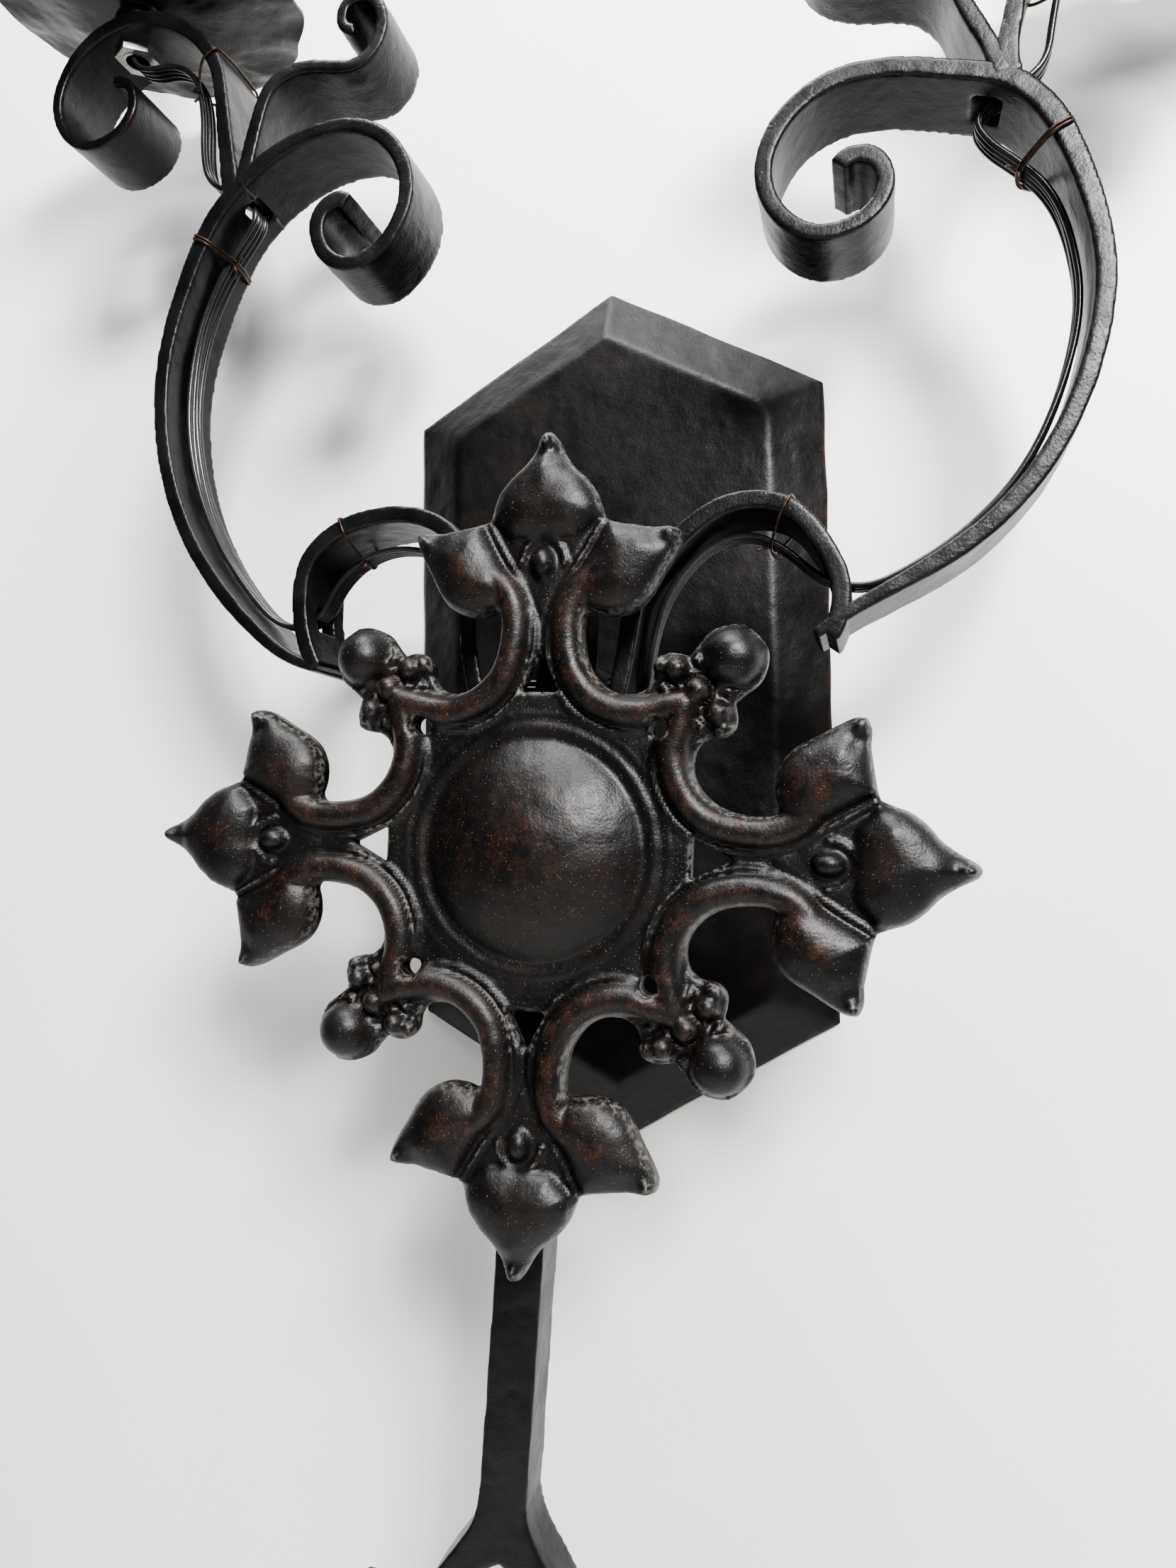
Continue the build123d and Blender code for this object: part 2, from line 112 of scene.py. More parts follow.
class Graph:
    def __init__(self, name):
        self.material = bpy.data.materials.new(name)
        self.material.use_nodes = True
        self.tree = self.material.node_tree
        self.tree.nodes.clear()

    def node(self, kind, settings, values, out=0):
        made = self.tree.nodes.new(kind)
        for key, setting in settings.items():
            setattr(made, key, setting)
        for key, given in values.items():
            if isinstance(given, Value):
                self.tree.links.new(given.socket, made.inputs[key])
            else:
                made.inputs[key].default_value = given
        return Value(self, made.outputs[out]) if made.outputs else made

    def spot(self):
        return self.node("ShaderNodeTexCoord", {}, {}, "Object")

    def cloud(self, size, detail=3.0, rough=0.55):     # size of a patch in mm
        values = {"Vector": self.spot(), "Scale": 1 / (size * mm), "Detail": detail, "Roughness": rough}
        return self.node("ShaderNodeTexNoise", {}, values)

    def cells(self, size):
        values = {"Vector": self.spot(), "Scale": 1 / (size * mm)}
        return self.node("ShaderNodeTexVoronoi", {}, values, "Distance")

    def painted(self, name):      # a number carried by the mesh
        return self.node("ShaderNodeAttribute", {"attribute_name": name}, {}, "Fac")

    def mix(self, share, first, second):
        values = {0: share}
        for key, colour in ((6, first), (7, second)):
            values[key] = colour if isinstance(colour, Value) else (*colour, 1)
        return self.node("ShaderNodeMix", {"data_type": "RGBA"}, values, 2)

    def bump(self, height, distance):
        return self.node("ShaderNodeBump", {}, {"Height": height, "Distance": distance * mm, "Strength": 1.0})

    def finish(self, values):
        shader = self.node("ShaderNodeBsdfPrincipled", {}, values)
        self.node("ShaderNodeOutputMaterial", {}, {"Surface": shader})
        return self.material


ironSettings = {
    "dark": (0.0022, 0.0024, 0.0029), "grey": (0.0058, 0.0060, 0.0068), "rust": (0.024, 0.0115, 0.0070),
    "bare": (0.085, 0.082, 0.080), "rough": 0.36, "dent": 6.5, "grain": 0.9,
}


def forgedIron(name, c):
    g = Graph(name)
    wear, patch = g.painted("wear"), g.cloud(17, 4)
    dents, grain = g.cloud(c["dent"], 2), g.cloud(c["grain"], 3, 0.65)
    colour = g.mix(patch.rise(0.4, 0.68), c["dark"], c["grey"])
    rust = wear.rise(0.2, 0.6) * g.cloud(7, 4, 0.75).rise(0.5, 0.64) * 0.7
    colour = g.mix(rust, colour, c["rust"])
    bare = wear.rise(0.55, 1.0) * g.cloud(1.8, 3).rise(0.46, 0.64) * 0.5
    colour = g.mix(bare, colour, c["bare"])
    pits = g.cells(2.6).rise(0.0, 0.28)
    height = dents * 0.36 + grain * 0.26 + pits * 0.08
    rough = c["rough"] + (patch - 0.5) * 0.24 + (grain - 0.5) * 0.22
    return g.finish({"Base Color": colour, "Roughness": rough, "Specular IOR Level": 0.30,
                     "Normal": g.bump(height, 0.42)})


rosetteSettings = {
    "dark": (0.0022, 0.0021, 0.0022), "grey": (0.0056, 0.0050, 0.0046), "rub": (0.040, 0.0175, 0.0100),
    "bare": (0.12, 0.11, 0.10), "speck": (0.36, 0.29, 0.21), "rough": 0.42,
}


def castIron(name, c):
    g = Graph(name)
    wear, high = g.painted("wear"), g.painted("high")
    patch, grain = g.cloud(21, 4), g.cloud(0.8, 3, 0.6)
    colour = g.mix(patch.rise(0.38, 0.7), c["dark"], c["grey"])
    blotch = g.cloud(5.0, 5, 0.78)
    rub = high * blotch.rise(0.42, 0.66) * (0.25 + 0.75 * g.cloud(0.6, 2).rise(0.42, 0.58))
    colour = g.mix(rub.atMost(0.8), colour, c["rub"])
    bare = wear.rise(0.45, 0.95) * g.cloud(1.6, 3).rise(0.44, 0.6) * 0.55
    colour = g.mix(bare, colour, c["bare"])
    dots = g.cells(0.75)
    specks = (1 - dots.rise(0.10, 0.17)) * dots.also("Color").rise(0.62, 0.66)
    colour = g.mix(specks * 0.7, colour, c["speck"])
    height = g.cloud(5, 2) * 0.25 + grain * 0.42 + specks * 0.3
    rough = c["rough"] + (patch - 0.5) * 0.2 + (grain - 0.5) * 0.26
    return g.finish({"Base Color": colour, "Roughness": rough, "Specular IOR Level": 0.32,
                     "Normal": g.bump(height, 0.30)})


def wroughtPlate(name, c):
    g = Graph(name)
    wear, patch = g.painted("wear"), g.cloud(26, 4, 0.6)
    dents, grain = g.cloud(4.2, 3, 0.6), g.cloud(0.9, 3, 0.6)
    colour = g.mix(patch.rise(0.36, 0.66), c["dark"], c["grey"])
    rust = (wear.rise(0.1, 0.4) + patch.rise(0.55, 0.72) * 0.45) * g.cloud(7, 4, 0.7).rise(0.44, 0.6) * 0.7
    colour = g.mix(rust.atMost(0.8), colour, c["rust"])
    height = dents * 0.5 + grain * 0.2
    rough = c["rough"] + (patch - 0.5) * 0.22 + (grain - 0.5) * 0.2
    return g.finish({"Base Color": colour, "Roughness": rough, "Specular IOR Level": 0.24,
                     "Normal": g.bump(height, 0.34)})


plateFinish = {
    "dark": (0.0020, 0.0019, 0.0020), "grey": (0.0050, 0.0044, 0.0042), "rust": (0.024, 0.0115, 0.0072),
    "rough": 0.41,
}


def platedSteel(name, base, rough):
    g = Graph(name)
    fine, stain = g.cloud(0.5, 2), g.cloud(5, 4, 0.65)
    colour = g.mix(stain.rise(0.35, 0.75), base, tuple(0.6 * x for x in base))
    return g.finish({"Base Color": colour, "Metallic": 1.0, "Roughness": rough + (stain - 0.5) * 0.25,
                     "Normal": g.bump(fine, 0.03)})


def moulded(name, base, second, rough, grainSize):
    g = Graph(name)
    grain, cloud = g.cloud(grainSize, 3), g.cloud(grainSize * 14, 3)
    colour = g.mix(cloud.rise(0.35, 0.7), base, second)
    return g.finish({"Base Color": colour, "Roughness": rough + (grain - 0.5) * 0.18,
                     "Normal": g.bump(grain + cloud * 2, 0.04)})


def tieIron(name):
    g = Graph(name)
    stain = g.cloud(1.6, 4, 0.7)
    colour = g.mix(stain.rise(0.4, 0.62), (0.018, 0.011, 0.009), (0.07, 0.032, 0.02))
    return g.finish({"Base Color": colour, "Metallic": 0.7, "Roughness": 0.42 + (stain - 0.5) * 0.3,
                     "Normal": g.bump(stain, 0.04)})


finishes = {
    "forged_iron": forgedIron("forgedIron", ironSettings),
    "rosette_iron": castIron("castIron", rosetteSettings),
    "wrought_plate": wroughtPlate("wroughtPlate", plateFinish),
    "plated_steel": platedSteel("platedSteel", (0.46, 0.45, 0.42), 0.36),
    "green_screw": platedSteel("greenScrew", (0.05, 0.30, 0.12), 0.34),
    "brass_contact": platedSteel("brassContact", (0.72, 0.50, 0.20), 0.3),
    "phenolic": moulded("phenolic", (0.030, 0.024, 0.020), (0.045, 0.034, 0.027), 0.42, 0.4),
    "candle_sleeve": moulded("ivorySleeve", (0.80, 0.73, 0.58), (0.74, 0.64, 0.47), 0.46, 0.9),
    "wire_jacket": moulded("wireJacket", (0.009, 0.0095, 0.011), (0.014, 0.0145, 0.016), 0.24, 0.7),
    "tie_wire": tieIron("tieIron"),
}
for part in frame["record"]["subparts"]:
    for place in nodes[part["node"]].material_slots:
        place.material = finishes[part["material_slot"]]
print("finishes", len(finishes))


def newPiece(name, verts, faces, finish):
    mesh = bpy.data.meshes.new(name)
    mesh.from_pydata((np.asarray(verts) * mm).tolist(), [], faces)
    return addPiece(name, mesh, finish)


def addPiece(name, mesh, finish):
    piece = bpy.data.objects.new(name, mesh)
    bpy.context.scene.collection.objects.link(piece)
    mesh.materials.clear()
    mesh.materials.append(finishes[finish])
    mesh.shade_smooth()
    return piece


def settle(piece, body, finish, *stoodFor):
    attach(piece, body)
    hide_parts(*stoodFor)


def readPoints(mesh):
    spots, normals = (np.empty(3 * len(mesh.vertices)) for _ in range(2))
    mesh.vertices.foreach_get("co", spots)
    mesh.vertex_normals.foreach_get("vector", normals)
    return spots.reshape(-1, 3), normals.reshape(-1, 3)


def paint(mesh, name, amount):
    mesh.attributes.new(name, "FLOAT", "POINT").data.foreach_set("value", amount.astype(np.float32))


def markWear(mesh, gain, rounds=3):      # where the surface bulges, its finish rubs off
    spots, normals = readPoints(mesh)
    ends = np.empty(2 * len(mesh.edges), int)
    mesh.edges.foreach_get("vertices", ends)
    a, b = ends.reshape(-1, 2).T
    count = np.maximum(np.bincount(a, minlength=len(spots)) + np.bincount(b, minlength=len(spots)), 1)

    def around(amount):
        total = np.bincount(a, amount[b], len(spots)) + np.bincount(b, amount[a], len(spots))
        return total / count

    mean = np.stack([around(spots[:, k]) for k in range(3)], 1)
    step = np.linalg.norm(spots[a] - spots[b], axis=1).mean()
    bulge = ((spots - mean) * normals).sum(1) / step
    for _ in range(rounds):
        bulge = 0.5 * bulge + 0.5 * around(bulge)
    paint(mesh, "wear", np.clip(bulge * gain, 0, 1))


def hammered(spots, size, seed):         # shallow blows: a mix of broad and fine lumps, about -1 to 1
    shift = Vector((seed * 7.3, seed * 3.1, seed * 5.7))
    out = np.empty(len(spots))
    for k, p in enumerate(spots):
        q = Vector(p) / (size * mm) + shift
        out[k] = 0.75 * noise.noise(q) + 0.45 * noise.noise(q * 2.3) + 0.2 * noise.noise(q * 5.1)
    return out


forgeSettings = {"cell": 0.78, "soften": 2, "blow": 8.5, "depth": 0.19, "wearGain": 4.0}


def forge(node, body, c, seed):
    mesh = nodes[node].data.copy()
    merged = bmesh.new()
    merged.from_mesh(mesh)
    bmesh.ops.remove_doubles(merged, verts=merged.verts, dist=0.002 * mm)
    merged.to_mesh(mesh)
    merged.free()
    piece = bpy.data.objects.new("forged_" + node, mesh)
    bpy.context.scene.collection.objects.link(piece)
    skin = piece.modifiers.new("skin", "REMESH")
    skin.mode, skin.voxel_size = "VOXEL", c["cell"] * mm
    soften = piece.modifiers.new("soften", "SMOOTH")
    soften.factor, soften.iterations = 0.5, c["soften"]
    mesh = bpy.data.meshes.new_from_object(piece.evaluated_get(bpy.context.evaluated_depsgraph_get()))
    piece.modifiers.clear()
    piece.data = mesh
    spots, normals = readPoints(mesh)
    spots += normals * (hammered(spots, c["blow"], seed) * c["depth"] * mm)[:, None]
    mesh.vertices.foreach_set("co", spots.ravel())
    mesh.update()
    mesh.materials.clear()
    mesh.materials.append(finishes["forged_iron"])
    mesh.shade_smooth()
    markWear(mesh, c["wearGain"])
    settle(piece, body, "forged_iron", node)
    return len(mesh.polygons)


seed = 1
bars = ("arch", "main_scroll", "branch_scroll", "tendril")
for node in ["stem"] + [f"{bar}_{side}" for side in sides for bar in bars]:
    faces = forge(node, "frame", forgeSettings, seed)
    seed += 1
    print("forged", node, faces)


def lineThrough(points, steps=5):        # a smooth line through given points
    points = np.array(points, float)
    before = np.vstack([points[:1], points[:-1]])
    after = np.vstack([points[1:], points[-1:]])
    pull = (after - before) / 2
    line = []
    for k in range(len(points) - 1):
        for t in np.arange(steps) / steps:
            line.append((2 * t**3 - 3 * t**2 + 1) * points[k] + (t**3 - 2 * t**2 + t) * pull[k]
                        + (3 * t**2 - 2 * t**3) * points[k + 1] + (t**3 - t**2) * pull[k + 1])
    return np.array(line + [points[-1]])


def awayFrom(line, s, t):                # distance of every point (s, t) from a line
    spots = np.stack([s.ravel(), t.ravel()], 1)
    best = np.full(len(spots), 1e9)
    for a, b in zip(line[:-1], line[1:]):
        run = b - a
        part = np.clip((spots - a) @ run / max(run @ run, 1e-9), 0, 1)
        best = np.minimum(best, np.hypot(*(spots - a - part[:, None] * run).T))
    return best.reshape(s.shape)


def within(ring, s, t):                  # which points lie inside a closed outline
    inside = np.zeros(s.shape, bool)
    for (s0, t0), (s1, t1) in zip(ring, np.roll(ring, -1, 0)):
        if t0 != t1:
            inside ^= ((t0 > t) != (t1 > t)) & (s < (s1 - s0) * (t - t0) / (t1 - t0) + s0)
    return inside


# a closed sheet: a grid cut to the outline edgeAt < 0, its rim snapped to that outline
def reliefSheet(name, halfX, halfZ, cell, edgeAt, frontAt, backAt, finish):
    x, z = np.meshgrid(np.arange(-halfX, halfX + cell, cell), np.arange(-halfZ, halfZ + cell, cell))
    edge = edgeAt(x, z)
    slopeZ, slopeX = np.gradient(edge, cell)
    kept = (edge[:-1, :-1] + edge[1:, :-1] + edge[:-1, 1:] + edge[1:, 1:]) < 0
    around = np.zeros(edge.shape, int)
    for dz in (0, 1):
        for dx in (0, 1):
            around[dz:dz + kept.shape[0], dx:dx + kept.shape[1]] += kept
    rim = (around > 0) & (around < 4)
    move = np.where(rim, np.clip(edge / (slopeX**2 + slopeZ**2 + 0.05), -cell, cell), 0)
    x, z = x - move * slopeX, z - move * slopeZ
    used = around > 0
    index = np.cumsum(used.ravel()).reshape(used.shape) - 1
    front = np.stack([x[used], -frontAt(x, z, edge)[used], z[used]], 1)
    back = np.stack([x[used], -backAt(x, z, edge)[used], z[used]], 1)
    count = len(front)
    a, b, c, d = index[:-1, :-1][kept], index[:-1, 1:][kept], index[1:, 1:][kept], index[1:, :-1][kept]
    faces = np.stack([a, b, c, d], 1).tolist() + (np.stack([d, c, b, a], 1) + count).tolist()
    wide = np.pad(kept, 1)
    open4 = [~wide[:-2, 1:-1][kept], ~wide[1:-1, 2:][kept], ~wide[2:, 1:-1][kept], ~wide[1:-1, :-2][kept]]
    for gap, first, second in zip(open4, (a, b, c, d), (b, c, d, a)):
        first, second = first[gap], second[gap]
        faces += np.stack([second, first, first + count, second + count], 1).tolist()
    piece = newPiece(name, np.vstack([front, back]), faces, finish)
    return piece, x[used], z[used]


rosette = {
    "centreZ": -51.2, "front": 94.8, "sheet": 3.6, "cell": 0.82, "halfGrid": 121,
    "dome": 32.0, "domeRise": 12.1,
    # outline of one eighth, from the long leaf's tip to the ball; each list is one smooth stretch
    "outline": [
        [(119, 0), (117.6, 1.9), (113.0, 4.4), (108.8, 7.4), (105.6, 11.0), (101.4, 14.2), (97.0, 15.8),
         (93.6, 17.2)],
        [(93.6, 17.2), (92.6, 20.5), (91.6, 26.0), (90.8, 31.0), (90.9, 35.5), (89.6, 38.6)],
        [(89.6, 38.6), (86.6, 38.6), (82.3, 36.6), (77.8, 34.0), (72.6, 31.2), (68.8, 27.8), (66.7, 23.0),
         (66.6, 18.0), (67.6, 14.0), (66.4, 12.0)],
        [(66.4, 12.0), (61.0, 11.9), (54.2, 13.2), (49.0, 16.2), (45.4, 20.6), (44.2, 25.4), (45.4, 30.0),
         (48.6, 32.4), (52.6, 33.0), (55.4, 35.6), (55.6, 39.2), (54.8, 42.2)],
        [(54.8, 42.2), (57.5, 44.6), (61.4, 47.8), (63.3, 52.4), (63.2, 57.0), (60.6, 60.6)],
    ],
    "rib": [(41.4, 41.4), (40.2, 36.0), (38.8, 29.5), (39.6, 22.4), (43.2, 15.4), (49.4, 10.2), (57.4, 7.9),
            (66.0, 7.8), (72.4, 10.2), (77.0, 15.5), (79.5, 22.5)],
    "ribRadius": 4.6,
    "ridge": [(35.6, 33.6), (33.6, 27.5), (34.0, 20.5), (37.2, 13.2), (42.4, 7.4), (48.8, 4.0), (56.0, 2.2),
              (63.0, 2.2), (69.5, 3.8), (76.4, 7.0), (83.4, 11.4), (92.8, 16.8)],
    "sideLeaf": [(93.2, 18.5), (92.6, 20.5), (91.6, 26.0), (90.8, 31.0), (90.9, 35.5), (89.6, 38.6),
                 (86.6, 38.6), (82.3, 36.6), (77.8, 34.0), (72.6, 31.2), (68.8, 27.8), (66.7, 23.0),
                 (66.6, 18.0), (67.6, 14.0), (71.5, 8.8), (77.5, 9.8), (84.5, 14.0)],
    "sideCrown": (11.5, 7.0),            # width of a leaf's rounded edge, height
    "sideDip": (87.0, 33.0, 14, 0.32),   # place, spread, share of the height that is lost
    "sideTip": (88.6, 36.8, 3.4, 1.7),   # place, spread, height of the bead
    "longLeaf": [(119, 0), (117.6, 1.9), (113.0, 4.4), (108.8, 7.4), (105.6, 11.0), (101.4, 14.2),
                 (97.0, 15.8), (93.0, 15.4), (87.6, 9.6), (87.0, 4.0), (87.4, 0)],
    "longCrown": (12.5, 7.4),
    "longDip": (112.5, 3.2, 0.30),
    "longTip": (115.6, 5.5, 1.5),
    "rings": [(34.6, 2.1, 1.2), (38.6, 1.1, 0.9)],       # round the dome: radius, half width, height
    "grooves": [(32.3, 0.45, 0.9), (36.9, 0.5, 0.5)],    # radius, half width, depth
    "hole": [(45.4, 4.9), (45.4, -4.9), (54.8, 0)],
    "eyelet": (34.8, 34.8, 2.6),
    "berry": (81.0, 0.0, 4.6, 3.4),
    "ball": (54.3, 54.3, 8.1),
    # at the foot of each ball, measured along the diagonal and across it
    "beads": [(63.9, 0, 3.9, 5.6, 0.6), (63.7, 8.4, 3.5, 5.0, 0.2), (61.6, 12.4, 2.9, 3.6, 0.0)],
    "collars": [(57.9, 8.5, 1.5, 2.9), (69.6, 7.5, 1.3, 2.5)],     # place, reach across, half width, height
    "beadRing": (63.9, 5.3, 0.9, 2.2),                            # place, radius, half width, height
    "lumps": (6.0, 2.4, 0.22),                                    # broad, fine, depth
}


def eighths(x, z):                       # every eighth of the rosette repeats the first
    return np.maximum(abs(x), abs(z)), np.minimum(abs(x), abs(z))


def rosetteEdge(x, z):
    c = rosette
    s, t = eighths(x, z)
    line = np.vstack([lineThrough(stretch) for stretch in c["outline"]])
    ring = np.vstack([[(-30, -30), (119, -30)], line, [(40, 82)]])
    edge = np.where(within(ring, s, t), -1, 1) * awayFrom(line, s, t)
    corners = np.array(c["hole"])
    hole = awayFrom(np.vstack([corners, corners[:1]]), s, t) * np.where(within(corners, s, t), 1, -1)
    eyelet = c["eyelet"][2] - np.hypot(s - c["eyelet"][0], t - c["eyelet"][1])
    return np.maximum(edge, np.maximum(hole + 0.6, eyelet))


def roundTop(distance, radius, height):  # half-round section
    return height * np.sqrt(np.clip(1 - (distance / radius) ** 2, 0, 1))


def rosetteRelief(x, z, edge):
    c = rosette
    s, t = eighths(x, z)
    r = np.hypot(x, z)
    h = 0.5 * np.clip((r - 37.5) / 3, 0, 1) - 0.2
    bulge = (c["dome"] ** 2 + c["domeRise"] ** 2) / (2 * c["domeRise"])
    h = np.where(r < c["dome"], np.sqrt(np.clip(bulge**2 - r**2, 0, None)) - (bulge - c["domeRise"]), h)
    for radius, half, height in c["rings"]:
        h = np.maximum(h, roundTop(r - radius, half, height))
    for radius, half, depth in c["grooves"]:
        h = h - depth * np.exp(-((r - radius) / half) ** 2)

    fromRib = awayFrom(lineThrough(c["rib"]), s, t)
    rib = roundTop(fromRib, c["ribRadius"], 5.4)
    h = np.maximum(h, rib)
    h -= 0.7 * np.exp(-((fromRib - c["ribRadius"] - 0.4) / 0.5) ** 2)
    fromRidge = awayFrom(lineThrough(c["ridge"]), s, t)
    h = np.maximum(h, roundTop(fromRidge, 1.25, 1.9))

    def leaf(ring, width, height):
        ring = np.array(ring, float)
        depth = awayFrom(np.vstack([ring, ring[:1]]), s, t) * within(ring, s, t)
        return height * np.sqrt(np.clip(1 - (1 - np.minimum(depth / width, 1)) ** 2, 0, 1))

    mirrored = [(a, -b) for a, b in c["longLeaf"][::-1]]
    long = leaf(c["longLeaf"] + mirrored, *c["longCrown"])
    place, spread, share = c["longDip"]
    long *= 1 - share * np.exp(-((s - place) / spread) ** 2)
    place, spread, height = c["longTip"]
    long += height * np.exp(-((s - place) ** 2 + t**2) / spread)
    side = leaf(c["sideLeaf"], *c["sideCrown"])
    place, aside, spread, share = c["sideDip"]
    side *= 1 - share * np.exp(-((s - place) ** 2 + (t - aside) ** 2) / spread)
    place, aside, spread, height = c["sideTip"]
    side += height * np.exp(-((s - place) ** 2 + (t - aside) ** 2) / spread)
    h = np.maximum(h, np.maximum(long, side))

    s0, t0, longRadius, wideRadius = c["berry"]
    inBerry = 1 - ((s - s0) / longRadius) ** 2 - ((t - t0) / wideRadius) ** 2
    h = np.maximum(h, 5.0 * np.sqrt(np.clip(inBerry, 0, 1)) + 0.4)
    inV = (t < 0.55 * (s - 66)) & (s < 90)
    around = np.hypot((s - s0) * 0.86, t - t0)
    leafSide = np.where(s > s0 - 0.5, roundTop(around - 6.3, 0.9, 1.3), 0)
    h = np.where(inV, np.maximum(h, 1.2 + leafSide), h)

    along, across = (s + t) / math.sqrt(2), (s - t) / math.sqrt(2)
    ball = c["ball"]
    h = np.maximum(h, roundTop(np.hypot(s - ball[0], t - ball[1]), ball[2], 8.4))
    for place, aside, radius, height, lift in c["beads"]:
        h = np.maximum(h, roundTop(np.hypot(along - place, across - aside), radius, height) + lift)
    for place, reach, half, height in c["collars"]:
        h = np.maximum(h, np.where(across < reach, roundTop(along - place, half, height), 0))
    place, radius, half, height = c["beadRing"]
    h = np.maximum(h, roundTop(np.hypot(along - place, across) - radius, half, height))

    broad, fine, depth = c["lumps"]
    lumps = np.array([noise.noise(Vector((a, b, 0)) / broad) + 0.5 * noise.noise(Vector((a, b, 9)) / fine)
                      for a, b in zip(x.ravel(), z.ravel())]).reshape(x.shape)
    return h + depth * lumps


def makeRosette(c):
    kept = {}

    def front(x, z, edge):
        kept["relief"] = rosetteRelief(x, z, edge)
        roll = 1.1 * (1 - np.clip(-edge / 1.3, 0, 1)) ** 2
        return c["front"] + kept["relief"] - roll

    def back(x, z, edge):
        hollow = np.clip((np.hypot(x, z) - 36) / 6, 0, 1) * np.clip((-edge - 1) / 3, 0, 1)
        return c["front"] - c["sheet"] + 0.72 * hollow * np.clip(kept["relief"], 0, None)

    half = c["halfGrid"]
    piece, x, z = reliefSheet("cast_rosette", half, half, c["cell"], rosetteEdge, front, back, "rosette_iron")
    piece.data.transform(Matrix.Translation((0, 0, c["centreZ"] * mm)))
    markWear(piece.data, 4.0, 1)
    s, t = eighths(x, z)
    rib = np.clip(1.4 - awayFrom(lineThrough(c["rib"]), s, t) / 3.4, 0, 1)
    dome = 0.55 * np.clip(1.3 - np.hypot(x, z) / 30, 0, 1)
    leaves = 0.75 * np.exp(-((s - 74) ** 2 + (t - 17) ** 2) / 80) + 0.5 * np.exp(-((s - 95) ** 2 + t**2) / 60)
    balls = 0.6 * np.exp(-(np.hypot(s - 45, t - 45) / 9) ** 2)
    high = np.clip(np.maximum(np.maximum(rib, dome), leaves + balls), 0, 1)
    paint(piece.data, "high", np.concatenate([high, 0.2 * high]))
    settle(piece, "frame", "rosette_iron", "rosette")
    print("rosette", len(piece.data.polygons), "faces")


makeRosette(rosette)


backplate = {
    "halfWidth": 76.3, "sideHeight": 112.3, "tipHeight": 154.8, "depth": 13.0, "bevel": 18.4, "sheet": 1.2,
    "lip": 1.5, "cell": 1.25, "turn": -3.2, "hole": 5.6, "halfGrid": (79, 157),
    "pits": {"seed": 8, "count": 46, "x": (-52, 54), "z": (-120, 125), "rise": (0.25, 0.7),
             "spread": (0.6, 1.8)},
}


def plateEdge(x, z):
    c = backplate
    slope = math.atan2(c["tipHeight"] - c["sideHeight"], c["halfWidth"])
    side = abs(x) - c["halfWidth"]
    top = (abs(z) - c["tipHeight"]) * math.cos(slope) + abs(x) * math.sin(slope)
    edge = np.maximum(side, top)
    edge += 0.35 * np.sin(x / 9 + z / 13) * np.sin(z / 7.7 - x / 17) * (edge > -6)
    return np.maximum(edge, c["hole"] - np.hypot(x, z))


def makeBackplate(c):
    def depthAt(x, z):
        slope = math.atan2(c["tipHeight"] - c["sideHeight"], c["halfWidth"])
        side = c["halfWidth"] - abs(x)
        top = (c["tipHeight"] - abs(z)) * math.cos(slope) - abs(x) * math.sin(slope)
        inward = -2.2 * np.logaddexp(-side / 2.2, -top / 2.2)
        rise = inward / c["bevel"]
        return c["lip"] + (c["depth"] - c["lip"]) * (1 - 0.025 * np.logaddexp(0, (1 - rise) / 0.025)), rise

    def lumps(x, z, size, seed):
        spots = np.stack([x.ravel(), 0 * x.ravel(), z.ravel()], 1) * mm
        return hammered(spots, size, seed).reshape(x.shape)

    def front(x, z, edge):
        depth, rise = depthAt(x, z)
        beaten = np.exp(-((rise - 0.55) / 0.45) ** 2)
        blows = np.clip(lumps(x, z, 12, 42), -0.3, 1)
        depth = depth - 0.25 - 0.22 * lumps(x, z, 9, 41) - 0.55 * beaten * blows
        pits = c["pits"]
        chance = np.random.default_rng(pits["seed"])
        for _ in range(pits["count"]):
            cx, cz = chance.uniform(*pits["x"]), chance.uniform(*pits["z"])
            rise, spread = chance.uniform(*pits["rise"]), chance.uniform(*pits["spread"])
            depth = depth + rise * np.exp(-((x - cx) ** 2 + (z - cz) ** 2) / spread)
        return np.clip(depth, 0.9, c["depth"] - 0.02)

    def back(x, z, edge):
        depth, _ = depthAt(x, z)
        return np.clip(depth - c["lip"] - 1.1 * c["sheet"], 0.02, None)

    piece, _, _ = reliefSheet("hammered_backplate", *c["halfGrid"], c["cell"], plateEdge, front, back,
                              "wrought_plate")
    piece.data.transform(Matrix.Rotation(math.radians(c["turn"]), 4, "Y"))
    markWear(piece.data, 3.2, 3)
    settle(piece, "backplate", "wrought_plate", "backplate")
    print("backplate", len(piece.data.polygons), "faces")


makeBackplate(backplate)


